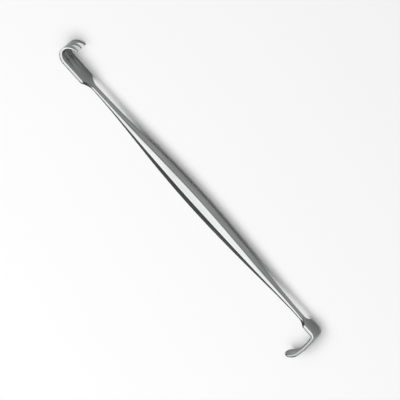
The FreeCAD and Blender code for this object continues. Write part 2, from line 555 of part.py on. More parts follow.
def draw_tongue(body):
    """The waste around the lip's rounded end, on a plane along the lip."""
    lip_from = blade_circles()[-1]
    radius, top = size("tongue_radius"), size("blade_width") / 2 + CUT_CLEAR
    apex = size("lip_tip_radius") + TONGUE_CLEAR
    far = apex + CUT_CLEAR
    outline = Outline(body, "tongue", "XZ_Plane")
    outline.tilt(lip_from - size("lip_turn") / 2 - 90, LIP_FROM + " - Sizes.lip_turn * 0.5 deg - 90 deg")
    outline.move("Base.x", TONGUE_AT)
    outline.move("Base.z", TONGUE_BELOW)
    round_end = outline.arc(Vector(apex - radius, 0, 0), radius, -TONGUE_SPAN, TONGUE_SPAN)
    high = Vector(apex - radius + radius * math.cos(math.radians(TONGUE_SPAN)),
                  radius * math.sin(math.radians(TONGUE_SPAN)), 0)
    rise = outline.line(high, Vector(high.x, top, 0))
    lid = outline.line(Vector(high.x, top, 0), Vector(far, top, 0))
    wall = outline.line(Vector(far, top, 0), Vector(far, -top, 0))
    floor = outline.line(Vector(far, -top, 0), Vector(high.x, -top, 0))
    climb = outline.line(Vector(high.x, -top, 0), Vector(high.x, -high.y, 0))
    outline.tie("Coincident", round_end, END, rise, START)
    outline.tie("Coincident", rise, END, lid, START)
    outline.tie("Coincident", lid, END, wall, START)
    outline.tie("Coincident", wall, END, floor, START)
    outline.tie("Coincident", floor, END, climb, START)
    outline.tie("Coincident", climb, END, round_end, START)
    outline.tie("Vertical", rise)
    outline.tie("Vertical", climb)
    outline.tie("Horizontal", lid)
    outline.tie("Horizontal", floor)
    outline.tie("Symmetric", wall, START, wall, END, ACROSS_AXIS)
    outline.tie("PointOnObject", round_end, CENTRE, ACROSS_AXIS)
    outline.tie("Vertical", round_end, START, round_end, END)
    outline.measure("Radius", round_end, value=radius, by="Sizes.tongue_radius")
    outline.measure("Angle", round_end, value=math.radians(2 * TONGUE_SPAN), by="%s deg" % (2 * TONGUE_SPAN))
    outline.measure("DistanceX", *ORIGIN, wall, START, value=far,
                    by="Sizes.lip_tip_radius + %s" % (TONGUE_CLEAR + CUT_CLEAR))
    outline.measure("DistanceX", round_end, CENTRE, wall, START, value=radius + CUT_CLEAR,
                    by="Sizes.tongue_radius + %s" % CUT_CLEAR)
    outline.measure("DistanceY", wall, END, wall, START, value=2 * top,
                    by="Sizes.blade_width + %s" % (2 * CUT_CLEAR))
    return outline.sketch


def pad(body, name, sketch, width):
    """Pad a side outline equally to both sides of the middle plane."""
    feature = body.newObject("PartDesign::Pad", name)
    feature.Profile = sketch
    feature.Midplane = True
    feature.setExpression("Length", "Sizes." + width)
    return feature


def pocket(body, name, sketch, depth):
    """Cut an outline equally to both sides of its own plane."""
    feature = body.newObject("PartDesign::Pocket", name)
    feature.Profile = sketch
    feature.Midplane = True
    feature.setExpression("Length", depth)
    return feature


def mirror(body, name, original):
    """Repeat a cut on the other side of the middle plane."""
    feature = body.newObject("PartDesign::Mirrored", name)
    feature.Originals = [original]
    middle = [f for f in body.Origin.OriginFeatures if f.Role == "XY_Plane"][0]
    feature.MirrorPlane = (middle, [""])
    body.Tip = feature
    return feature


def round_edges(body, name, base, radius, wanted):
    """Fillet the edges of a feature that a test picks out."""
    doc.recompute()
    names = ["Edge%d" % number for number, edge in enumerate(base.Shape.Edges, start=1) if wanted(edge)]
    feature = body.newObject("PartDesign::Fillet", name)
    feature.Base = (base, names)
    feature.setExpression("Radius", "Sizes." + radius)
    return feature


def on_side(point, end):
    """Whether a point lies in one of the two side planes of the rake or the blade."""
    return abs(abs(point.z) - size(end + "_width") / 2) < NEAR


def is_corner(edge, end):
    """Whether an edge is one of the short upright corners of an end's shoulders."""
    first, last = edge.firstVertex().Point, edge.lastVertex().Point
    here = abs(first.x - run_to(end, "shoulder")[0]) < NEAR and abs(last.x - first.x) < NEAR
    return here and on_side(first, end) and on_side(last, end) and abs(last.z - first.z) < NEAR


def is_rim(edge, end):
    """Whether an edge runs along a side plane of the rake or the blade, past its shoulders."""
    middle = edge.valueAt((edge.FirstParameter + edge.LastParameter) / 2)
    shoulder_at = run_to(end, "shoulder")[0]
    outside = middle.x < shoulder_at if end == "rake" else middle.x > shoulder_at
    points = [edge.firstVertex().Point, middle, edge.lastVertex().Point]
    flat = max(point.z for point in points) - min(point.z for point in points) < NEAR
    across = abs(points[0].x - points[2].x) < NEAR
    return outside and flat and not across and all(on_side(point, end) for point in points)


body = doc.addObject("PartDesign::Body", "retractor")
body.Label = "retractor"
body.AllowCompound = True

rake = pad(body, "rake_strip", draw_rake_side(body), "rake_width")
rake = pocket(body, "rake_shoulders", draw_shoulders(body, "rake_shoulder_outline", "rake"),
              "4 * Sizes.rake_thickness")
rake = round_edges(body, "rake_corners", rake, "shoulder_round", lambda edge: is_corner(edge, "rake"))
rake = round_edges(body, "rake_rounds", rake, "rake_edge_round", lambda edge: is_rim(edge, "rake"))
gap = pocket(body, "tine_gaps", draw_tine_gap(body), "2 * Sizes.rake_front_radius")
mirror(body, "tine_gaps_far", gap)
flute_path, flute_cutter = draw_flute(body)
flute = body.newObject("PartDesign::SubtractivePipe", "flute")
flute.Profile = flute_cutter
flute.Spine = (flute_path, [])
doc.recompute()
mirror(body, "flute_far", flute)

blade = pad(body, "blade_strip", draw_blade_side(body), "blade_width")
blade = pocket(body, "blade_shoulders", draw_shoulders(body, "blade_shoulder_outline", "blade"),
               "4 * Sizes.blade_plate_thickness")
blade = round_edges(body, "blade_corners", blade, "shoulder_round", lambda edge: is_corner(edge, "blade"))
blade = round_edges(body, "blade_rounds", blade, "blade_edge_round", lambda edge: is_rim(edge, "blade"))
pocket(body, "tongue_end", draw_tongue(body), "2 * Sizes.blade_plate_thickness")

shaft = body.newObject("PartDesign::AdditiveLoft", "shaft")
sections = [draw_section(body, section[0]) for section in SECTIONS]
shaft.Profile = sections[0]
shaft.Sections = sections[1:]
shaft.Ruled = False
doc.recompute()

# The finished piece lies on its side, with the origin on the table below the middle of its box.
box = body.Shape.optimalBoundingBox()
body.Placement = Placement(Vector(-box.Center.x, -box.Center.y, -box.ZMin), Rotation())
doc.recompute()

for item in doc.Objects:
    if "Invalid" in item.State or "Error" in item.State:
        raise RuntimeError("%s has the state %s" % (item.Name, item.State))
    if item.isDerivedFrom("PartDesign::Feature") or item.isDerivedFrom("Sketcher::SketchObject"):
        if item.Shape.isNull() or not item.Shape.isValid():
            raise RuntimeError("%s has no valid shape" % item.Name)
if body.Shape.isNull() or not body.Shape.isValid() or len(body.Shape.Solids) != 1:
    raise RuntimeError("the retractor is not one valid solid")

os.makedirs("parts", exist_ok=True)
body.Shape.exportStep("parts/retractor.step")
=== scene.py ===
import math

import bmesh
import bpy
import numpy as np
from bpy.props import FloatProperty, FloatVectorProperty, PointerProperty
from bpy.types import Operator, Panel, PropertyGroup
from mathutils import Matrix, Vector


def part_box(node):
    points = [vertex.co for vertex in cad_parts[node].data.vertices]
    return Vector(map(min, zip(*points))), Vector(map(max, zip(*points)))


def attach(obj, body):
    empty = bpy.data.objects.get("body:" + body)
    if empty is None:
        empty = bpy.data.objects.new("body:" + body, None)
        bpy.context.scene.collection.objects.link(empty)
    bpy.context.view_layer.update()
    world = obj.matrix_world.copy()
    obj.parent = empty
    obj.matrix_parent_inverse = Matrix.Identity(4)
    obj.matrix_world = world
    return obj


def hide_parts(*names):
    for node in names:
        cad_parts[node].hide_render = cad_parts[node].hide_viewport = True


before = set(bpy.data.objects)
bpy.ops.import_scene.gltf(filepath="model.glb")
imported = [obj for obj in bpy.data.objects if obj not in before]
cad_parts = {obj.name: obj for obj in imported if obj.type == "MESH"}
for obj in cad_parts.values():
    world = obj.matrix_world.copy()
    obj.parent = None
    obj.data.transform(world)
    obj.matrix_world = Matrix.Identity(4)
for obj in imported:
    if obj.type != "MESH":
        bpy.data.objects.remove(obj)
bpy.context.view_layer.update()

bl_info = {
    "name": "Surgical hand retractor",
    "version": (1, 0, 0),
    "blender": (4, 5, 0),
    "location": "View3D > Sidebar > Retractor",
    "description": "Builds the satin steel rake, shaft and blade of a hand retractor, and its studio",
    "category": "Add Mesh",
}

MM = 0.001
BODY = "root"
NODE = "retractor"

# The surfaces are worked out in the drawing's axes: the shaft's axis along X from the rake's outermost point,
# the rake's hook towards +Y, and Z across. This is where the drawing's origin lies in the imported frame.
BOX_LOW, BOX_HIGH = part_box(NODE)
DRAWN_AT = np.array([BOX_LOW[0], 5.3588 * MM, (BOX_LOW[2] + BOX_HIGH[2]) / 2])

# How far in from an edge the columns of a grid stand, as shares of the edge's rounding.
EDGE_STEPS = np.array([0.0, 0.015, 0.05, 0.11, 0.2, 0.33, 0.5, 0.72, 1.0])
# Vertices nearer than this are one.
WELD = 1e-6


# Sizes and colours


def length(name, description, millimetres):
    """A length that a user may change, written in millimetres and kept in metres."""
    return FloatProperty(name=name, description=description, default=millimetres * MM, min=0.0,
                         unit="LENGTH", precision=5)


def lengths(name, description, *millimetres):
    """A row of lengths, one for each section of the shaft."""
    return FloatVectorProperty(name=name, description=description, size=len(millimetres),
                               default=[value * MM for value in millimetres], min=0.0, unit="LENGTH", precision=5)


def angle(name, description, degrees):
    """An angle that a user may change, written in degrees and kept in radians."""
    return FloatProperty(name=name, description=description, default=math.radians(degrees),
                         subtype="ANGLE", unit="ROTATION")


def share(name, description, value, most=1.0):
    """A plain number from zero to its most."""
    return FloatProperty(name=name, description=description, default=value, min=0.0, max=most,
                         subtype="FACTOR")


def colour(name, description, *value):
    """A colour in linear light."""
    return FloatVectorProperty(name=name, description=description, size=3, default=value, min=0.0, max=1.0,
                               subtype="COLOR")


class RakeSizes(PropertyGroup):
    """Sizes of the rake, counted from its outermost point."""

    width: length("Width", "Width across the plate", 7.0)
    thickness: length("Plate thickness", "Thickness of the plate", 1.8)
    edge_inset: length("Edge inset", "How far the back edges' rounding reaches onto the back", 0.08)
    sweep_inset: length("Sweep inset", "How far it reaches along the shoulders' sweep", 0.3)
    front_edge_depth: length("Front edge depth", "How far the front edges' rounding reaches down the side", 0.3)
    gap_edge_round: length("Gap edge rounding", "Radius on the edges of the gaps", 0.12)
    back_radius: length("Back radius", "Outer radius of the bend beside the plate", 4.9)
    front_radius: length("Front radius", "Inner radius of the bend beside the plate", 3.7)
    wall: length("Bend wall", "Thickness of the bend at its outermost point", 1.1)
    tine_back_radius: length("Tine back radius", "Outer radius of the bend along the tines", 5.95)
    tine_reach: length("Tine reach", "How far the tips come back from the outermost point", 5.35)
    tip_radius: length("Tip radius", "Radius of a tine's blunt tip", 0.24)
    shoulder_run: length("Shoulder run", "From the outermost point to the shoulders", 16.2)
    shoulder_round: length("Shoulder rounding", "Radius on the corners of the shoulders", 0.7)
    stem_run: length("Stem run", "From the outermost point to where the shoulders' sweep runs out", 23.3)
    stem_width: length("Stem width", "Width left at the end of that sweep", 1.5)
    stem_thickness: length("Stem thickness", "Thickness left at the end of that sweep", 1.0)
    gap_turn: angle("Gap turn", "Turn past the outermost point where the gaps begin", 43.0)
    gap_root: length("Gap root", "Width of a gap at its root", 0.5)
    gap_root_pitch: length("Gap pitch", "Distance between the two gaps at their roots", 2.5)
    tine_pitch: length("Tine pitch", "Distance between neighbouring tips", 2.86)
    tine_tip_width: length("Tip width", "Width of a tine at its tip", 0.8)
    flute_radius: length("Flute radius", "Radius of the cutter that makes a flute", 1.0)
    flute_depth: length("Flute depth", "Depth of a flute", 0.32)
    flute_spacing: length("Flute spacing", "Distance between the two flutes", 2.7)
    flute_end_at: length("Flute end", "Place on the plate where a flute has run out", 12.5)
    flute_end_turn: angle("Flute end turn", "Turn past the outermost point where a flute has run out", 70.0)
    flute_fade_turn: angle("Flute fade turn", "Turn over which a flute runs out there", 18.0)
    # Width of the painted highlight along each flute's rims.
    rim_painted_highlight: length("Rim rub", "Width of the rubbed line along a flute's rims", 0.2)
    edge_rub: length("Edge rub", "Width of the rubbed band along the edges", 0.25)
    # Painted shade: how far the faces' colour is darkened, on the rake's plate and tines and on the blade.
    face_painted_shade: share("Face grinding", "How coarse the plate and the tines are left", 0.7)
    # Painted shade in the flutes: how much darker their colour is made, by their depth.
    flute_painted_shade: share("Flute grinding", "How much coarser the flutes are left", 0.5)


class ShaftSizes(PropertyGroup):
    """Sizes of the shaft's nine sections, from the rake to the blade."""

    start: length("Start", "Where the first section stands", 18.5)
    end: length("End", "Where the last section stands", 150.2)
    edge_round: length("Edge rounding", "How far the rounding of an edge reaches along each face", 0.22)
    # Painted shade: how far the borders of the flat faces are darkened.
    border_painted_shade: share("Border grinding", "How coarse the borders of the flat faces are left", 1.0)
    shares: FloatVectorProperty(
        name="Shares", description="Share of the shaft's length where each section stands", size=9,
        default=(0.0, 0.065, 0.203, 0.348, 0.493, 0.653, 0.813, 0.943, 1.0), min=0.0, max=1.0)
    widths: lengths("Widths", "Width of the flat faces", 2.15, 2.05, 2.95, 3.65, 3.7, 3.6, 2.8, 1.9, 2.05)
    depths: lengths("Depths", "Depth between the flat faces", 1.15, 1.55, 3.1, 5.4, 6.6, 5.55, 3.3, 1.7, 1.2)
    ridges: lengths("Ridges", "Width across the two side ridges", 2.35, 2.36, 3.5, 4.7, 5.3, 4.7, 3.55, 2.25, 2.25)


class BladeSizes(PropertyGroup):
    """Sizes of the blade, counted back from its belly and down from the shaft's axis."""

    overall_length: length("Overall length", "From the rake's outermost point to the blade's belly", 160.0)
    width: length("Width", "Width of the blade", 5.3)
    top_edge: length("Top edge rounding", "Radius on the upper edges of the plate", 0.2)
    under_edge: length("Under edge inset", "How far the lower edges' rounding reaches under the plate", 0.08)
    outer_edge: length("Outer edge inset", "How far the edges' rounding reaches onto the hanging outside", 0.2)
    lip_edge: length("Lip edge inset", "How far the edges' rounding reaches onto the lip's outside", 0.5)
    inner_edge: length("Inner edge inset", "How far it reaches onto the hanging inside", 0.3)
    plate_thickness: length("Plate thickness", "Thickness of the plate before its bend", 1.9)
    thickness: length("Thickness", "Thickness of the hanging blade", 1.65)
    belly_radius: length("Belly radius", "Outer radius of the long curve", 50.0)
    belly_depth: length("Belly depth", "Depth of the belly below the shaft's axis", 9.6)
    bend_radius: length("Bend radius", "Outer radius of the bend at the blade's root", 3.1)
    corner_radius: length("Corner radius", "Inner radius of that bend", 0.7)
    lip_start_depth: length("Lip start", "Depth where the lip begins to curl", 14.6)
    lip_radius: length("Lip radius", "Outer radius of the lip's curl", 7.8)
    lip_turn: angle("Lip turn", "How far the lip curls", 53.0)
    lip_tip_radius: length("Rim radius", "Radius of the lip's rounded rim", 0.55)
    tongue_radius: length("Tongue radius", "Radius of the lip's rounded end", 2.7)
    shoulder_run: length("Shoulder run", "From the belly back to the shoulders", 7.8)
    shoulder_round: length("Shoulder rounding", "Radius on the corners of the shoulders", 0.3)
    stem_run: length("Stem run", "From the belly back to where the shoulders' sweep begins", 12.2)
    stem_width: length("Stem width", "Width of the plate at the start of that sweep", 1.6)
    stem_thickness: length("Stem thickness", "Thickness of the plate at the start of that sweep", 1.0)
    edge_rub: length("Edge rub", "Width of the rubbed band along the edges", 0.35)
    face_painted_shade: share("Face grinding", "How coarse the blade's faces are left", 0.7)
    # Painted shade on the hanging edges, in place of their wear.
    edge_painted_shade: share("Edge grinding", "How coarse the hanging edges are left", 0.5)


class SteelFinish(PropertyGroup):
    """Colours and surface of the satin stainless steel, with the colours of its painted highlight and painted
    shade.
    """

    base: colour("Steel", "Colour of the satin faces", 0.35, 0.35, 0.355)
    shade: colour("Shaded steel", "Colour where the satin is coarser", 0.22, 0.23, 0.225)
    # Colour of the edges' rubbed wear, and of the painted highlight on the flutes' rims.
    bright: colour("Burnished steel", "Colour of the rubbed edges", 0.34, 0.34, 0.34)
    # Painted shade colour: it darkens the faces of the rake and the blade, the flutes, the hanging edges and the
    # borders of the shaft's flats.
    painted_shade: colour("Ground steel", "Colour where the grinding is left coarse", 0.08, 0.083, 0.083)
    roughness: share("Roughness", "Roughness of the satin faces", 0.21)
    edge_roughness: share("Edge roughness", "Roughness of the rubbed edges", 0.16)
    grain: share("Grain", "Height of the brushed lines against the surface", 0.1)


class StudioSettings(PropertyGroup):
    """Colours and levels of the floor, the lamp and the surroundings."""

    floor: colour("Floor", "Colour of the table", 0.94, 0.94, 0.94)
    lamp_azimuth: angle("Lamp azimuth", "Turn of the lamp from the front", -8.0)
    lamp_elevation: angle("Lamp elevation", "Height of the lamp above the horizon", 59.0)
    lamp_distance: length("Lamp distance", "Distance of the lamp from the instrument", 900.0)
    lamp_width: length("Lamp width", "Width of the lamp", 1000.0)
    lamp_height: length("Lamp height", "Height of the lamp's face", 620.0)
    lamp_level: share("Lamp level", "Light that the big soft lamp gives off", 1.84, most=10.0)
    sky_high: share("Sky level", "Level of the surroundings overhead", 1.15, most=10.0)
    sky_low: share("Horizon level", "Level of the surroundings near the horizon", 0.16, most=10.0)


# Grids


def sweep_radius(run, rise):
    """Radius of an arc that starts level and has fallen by the rise after the run: half of run squared over
    rise, plus half of the rise."""
    return (run ** 2 + rise ** 2) / (2 * rise)


def on_circle(centre, radius, turn):
    """Points of a circle: its centre plus the radius times the cosine and the sine of each turn."""
    return pairs(centre[0] + radius * np.cos(turn), centre[1] + radius * np.sin(turn))


def pairs(first, second):
    """Points from their two coordinates."""
    return np.stack([first, second], axis=-1)


def between(start, end, part):
    """The start plus a part of the way from it to the end."""
    return start + (end - start) * part


def heading(start, end):
    """The angle of the line from one point to another."""
    return math.atan2(end[1] - start[1], end[0] - start[0])


def edge_drop(distance, inset, depth):
    """How far a rounded edge has dropped at a distance from the border: the depth less the height of an
    ellipse that is an inset wide and a depth high, and nothing further in than the inset."""
    inward = 1.0 - np.clip(distance / np.maximum(inset, 1e-9), 0.0, 1.0)
    return depth * (1.0 - np.sqrt(1.0 - inward ** 2))


def shoulder_half_width(run, size):
    """Half of the width at each distance from the instrument's end.

    Level over the plate, then a quarter-round corner, then the lower side of a large circle that comes level
    again at the stem. The corner's circle touches the plate's border and the large circle.
    """
    half, stem_half, corner = size.width / 2, size.stem_width / 2, size.shoulder_round
    radius = sweep_radius(size.stem_run - size.shoulder_run, half - stem_half)
    centre_run, centre_up = size.stem_run, stem_half + radius
    corner_run = centre_run - math.sqrt((radius + corner) ** 2 - (centre_up - half + corner) ** 2)
    corner_end = corner_run + (centre_run - corner_run) * corner / (radius + corner)
    rounded = half - corner + np.sqrt(np.maximum(corner ** 2 - (run - corner_run) ** 2, 0.0))
    swept = centre_up - np.sqrt(np.maximum(radius ** 2 - (centre_run - run) ** 2, 0.0))
    return np.where(run < corner_run, half, np.where(run < corner_end, rounded, swept))


def across(low, high, low_inset, high_inset, count):
    """Columns between two borders, row by row: close together within each border's inset, even between."""
    even = np.linspace(0.0, 1.0, count + 2)[1:-1]
    middle = (low + low_inset)[:, None] + (high - low - low_inset - high_inset)[:, None] * even
    return np.concatenate([low[:, None] + low_inset[:, None] * EDGE_STEPS, middle,
                           high[:, None] - high_inset[:, None] * EDGE_STEPS[::-1]], axis=1)


def grid_faces(index):
    """The four corners of each cell of a grid of vertex numbers."""
    return np.stack([index[:-1, :-1], index[1:, :-1], index[1:, 1:], index[:-1, 1:]], axis=-1).reshape(-1, 4)


def wall_faces(first, second):
    """Cells between two equal runs of vertex numbers."""
    return np.stack([first[:-1], first[1:], second[1:], second[:-1]], axis=-1).reshape(-1, 4)


def travelled(line):
    """The distance along a line of points: the sum of its steps so far."""
    return np.concatenate([[0.0], np.cumsum(np.linalg.norm(np.diff(line, axis=0), axis=1))])


def lay_of(along, columns, through):
    """The lay of a grid whose rows stand at distances along the metal and its columns across it."""
    along = np.broadcast_to(along, columns.shape)
    return np.dstack([along, columns, np.full(columns.shape, through)]).reshape(-1, 3)


def add_object(name, data):
    """A new object of a mesh, a light or a camera, in the scene."""
    made = bpy.data.objects.new(name, data)
    bpy.context.scene.collection.objects.link(made)
    return made


def make_piece(name, points, faces, wear_and_painted_light, lay):
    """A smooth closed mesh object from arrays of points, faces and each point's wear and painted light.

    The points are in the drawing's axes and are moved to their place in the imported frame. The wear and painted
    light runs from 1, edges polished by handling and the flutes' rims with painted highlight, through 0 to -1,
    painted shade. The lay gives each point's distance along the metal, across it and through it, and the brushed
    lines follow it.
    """
    mesh = bpy.data.meshes.new(name)
    mesh.from_pydata((points.reshape(-1, 3) + DRAWN_AT).tolist(), [], faces.tolist())
    layer = mesh.attributes.new("wear_and_painted_light", "FLOAT", "POINT")
    layer.data.foreach_set("value", wear_and_painted_light.ravel().astype(np.float32))
    layer = mesh.attributes.new("lay", "FLOAT_VECTOR", "POINT")
    layer.data.foreach_set("vector", lay.ravel().astype(np.float32))
    work = bmesh.new()
    work.from_mesh(mesh)
    bmesh.ops.remove_doubles(work, verts=work.verts, dist=WELD)
    bmesh.ops.dissolve_degenerate(work, edges=work.edges, dist=WELD)
    bmesh.ops.recalc_face_normals(work, faces=work.faces)
    if work.calc_volume(signed=True) < 0:
        bmesh.ops.reverse_faces(work, faces=work.faces)
    open_edges = [edge for edge in work.edges if not edge.is_manifold]
    if open_edges:
        place = (open_edges[0].verts[0].co - Vector(DRAWN_AT.tolist())) / MM
        raise RuntimeError("%s has %d open edges, first at %s" % (name, len(open_edges), place))
    work.to_mesh(mesh)
    work.free()
    mesh.shade_smooth()
    piece = add_object(name, mesh)
    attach(piece, BODY)
    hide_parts(NODE)
    return piece


def shell_sides(back, front, width, drop_back, drop_front):
    """The back and the front surface of a strip, each as a grid of points.

    Each is its side line in the bend's plane, moved across by the width and into the metal by its drop.
    """
    through = front - back
    thickness = np.linalg.norm(through, axis=-1, keepdims=True)
    inwards = through / np.maximum(thickness, 1e-12)
    both = np.maximum((drop_back + drop_front)[..., None], 1e-12)
    fitted = np.minimum(1.0, thickness / both)
    lower = back + inwards * drop_back[..., None] * fitted
    upper = front - inwards * drop_front[..., None] * fitted
    return np.dstack([lower, width]), np.dstack([upper, width])


# Rake

# Rows of the grid stand closer over this run before the shoulders, and over this share of the plate.
CLOSE_RUN, CLOSE_PLATE = 0.5 * MM, 0.06
# How much of half its width a tine loses at its end, seen from the front.
TIP_PINCH = 0.8
# Where the side strips meet the middle one before the gaps begin, as a share of half the width.
STRIP_BORDER = 0.36
# The most that a rounding takes of half the middle tine, and of a side tine by its gap and by its outside.
MIDDLE_INSET, GAP_INSET, OUTSIDE_INSET = 0.4, 0.3, 0.6
# What it takes of the thickness: at the front, there along the sweep, at the back, and at the gaps.
FRONT_SHARE, SWEEP_SHARE, BACK_SHARE, GAP_SHARE = 0.3, 0.38, 0.6, 0.45
# How much of an edge's rounding is added to a flute that runs into it.
FLUTE_EDGE = 0.5


def rake_sides(size):
    """The rake's back and front lines from the stem to the tips, as rows of points in the bend's plane.

    The stem narrows along an arc, the plate is straight, the bend is a quarter of two circles, and the tines
    lie between two larger circles that meet on the tip's small circle. Each row also gives its distance
    along the gaps' chord, which is below zero before the gaps begin.
    """
    half, stem_half = size.thickness / 2, size.stem_thickness / 2
    back_centre = (size.back_radius, size.back_radius - half)
    front_centre = (size.wall + size.front_radius, size.front_radius + half)
    tine_centre = (size.tine_back_radius, back_centre[1])
    swing = size.tine_back_radius - size.tip_radius
    tip_x = size.tine_reach - size.tip_radius
    tip = np.array([tip_x, tine_centre[1] + math.sqrt(swing ** 2 - (tine_centre[0] - tip_x) ** 2)])
    along, up = tip[0] - size.wall, tip[1] - front_centre[1]
    inner_radius = (along ** 2 + up ** 2 - size.tip_radius ** 2) / (2 * (along + size.tip_radius))
    inner_centre = (size.wall + inner_radius, front_centre[1])
    tip_turn = math.pi - heading(tine_centre, tip)
    inner_turn = math.pi - heading(inner_centre, tip)

    close = size.shoulder_run + CLOSE_RUN
    stem = np.concatenate([np.linspace(size.stem_run, close, 24), np.linspace(close, size.shoulder_run, 8)[1:]])
    taper = sweep_radius(size.stem_run - size.shoulder_run, half - stem_half)
    stem_up = half - taper + np.sqrt(taper ** 2 - (stem - size.shoulder_run) ** 2)
    even = np.concatenate([np.linspace(0.0, CLOSE_PLATE, 8)[1:], np.linspace(CLOSE_PLATE, 1.0, 46)[1:]])
    plate_back = between(size.shoulder_run, back_centre[0], even)
    plate_front = between(size.shoulder_run, front_centre[0], even)
    bend = np.linspace(0.0, math.pi / 2, 30)[1:]

    # The gaps are cut square to the chord from their roots to the tips.
    middle_turn = (size.gap_turn + tip_turn) / 2
    reach = math.sin((tip_turn - size.gap_turn) / 2)
    root = size.gap_root / 2
    round_root = -root * np.cos(np.linspace(0.0, math.pi / 2, 9))
    before = -root - size.gap_edge_round * EDGE_STEPS[:0:-1]
    near_root = np.concatenate([before, round_root])
    root_turns = middle_turn + np.arcsin(near_root / size.tine_back_radius - reach)
    turns = np.concatenate([np.linspace(0.0, root_turns[0], 18)[1:-1], root_turns,
                            np.linspace(size.gap_turn, tip_turn, 26)[1:]])

    tip_close = np.linspace(0.0, math.pi / 2, 9)[1:]
    out = (tip - np.array(tine_centre)) / swing
    onward = np.array([out[1], -out[0]])
    inner_out = (np.array(inner_centre) - tip) / np.linalg.norm(np.array(inner_centre) - tip)
    cap_back, cap_front = [
        tip + size.tip_radius * (np.outer(np.cos(tip_close), side) + np.outer(np.sin(tip_close), onward))
        for side in (out, inner_out)]
    back = np.concatenate([
        pairs(stem, -stem_up), pairs(plate_back, np.full_like(plate_back, -half)),
        on_circle(back_centre, size.back_radius, 1.5 * math.pi - bend),
        on_circle(tine_centre, size.tine_back_radius, math.pi - turns), cap_back])
    front = np.concatenate([
        pairs(stem, stem_up), pairs(plate_front, np.full_like(plate_front, half)),
        on_circle(front_centre, size.front_radius, 1.5 * math.pi - bend),
        on_circle(inner_centre, inner_radius, math.pi - turns * inner_turn / tip_turn), cap_front])

    flat = len(stem) + len(plate_back) + len(bend)
    chord = size.tine_back_radius * (np.sin(turns - middle_turn) + reach)
    whole_chord = 2 * size.tine_back_radius * reach
    past = whole_chord + size.tip_radius * np.sin(tip_close)
    chord = np.concatenate([np.full(flat, -size.width), chord, past])
    turned = np.concatenate([np.zeros(flat), turns, np.full(len(tip_close), tip_turn)])
    closing = np.concatenate([np.zeros(len(back) - len(tip_close)), tip_close])
    return back, front, chord, whole_chord, turned, closing


def flute_carving(size, front, turned, width):
    """Depth of the two flutes at each point of the rake's front, and the painted highlight along their rims.

    The depth is how far the cutter's circle, sunk by the flute's own depth, reaches below the surface. The flute's
    own depth runs out along the plate and along the tines. A rim is where the circle leaves the surface, and a
    painted highlight along it, stronger where the flute is deeper, falls off on both sides as the exponential of
    the distance.
    """
    plate_start = size.wall + size.front_radius
    along = np.clip((front[..., 0] - plate_start) / (size.flute_end_at - plate_start), 0.0, 1.0)
    fade = np.clip((size.flute_end_turn - turned) / size.flute_fade_turn, 0.0, 1.0)
    depth = size.flute_depth * (1.0 - along) * fade * fade * (3.0 - 2.0 * fade)
    aside = np.abs(np.abs(width) - size.flute_spacing / 2)
    circle = np.sqrt(np.maximum(size.flute_radius ** 2 - aside ** 2, 0.0))
    rim = np.sqrt(size.flute_radius ** 2 - (size.flute_radius - depth) ** 2)
    # The rims' painted highlight, fading with the flute's depth.
    rub = np.exp(-np.abs(aside - rim) / size.rim_painted_highlight) * depth / size.flute_depth
    return np.maximum(circle - (size.flute_radius - depth), 0.0), rub


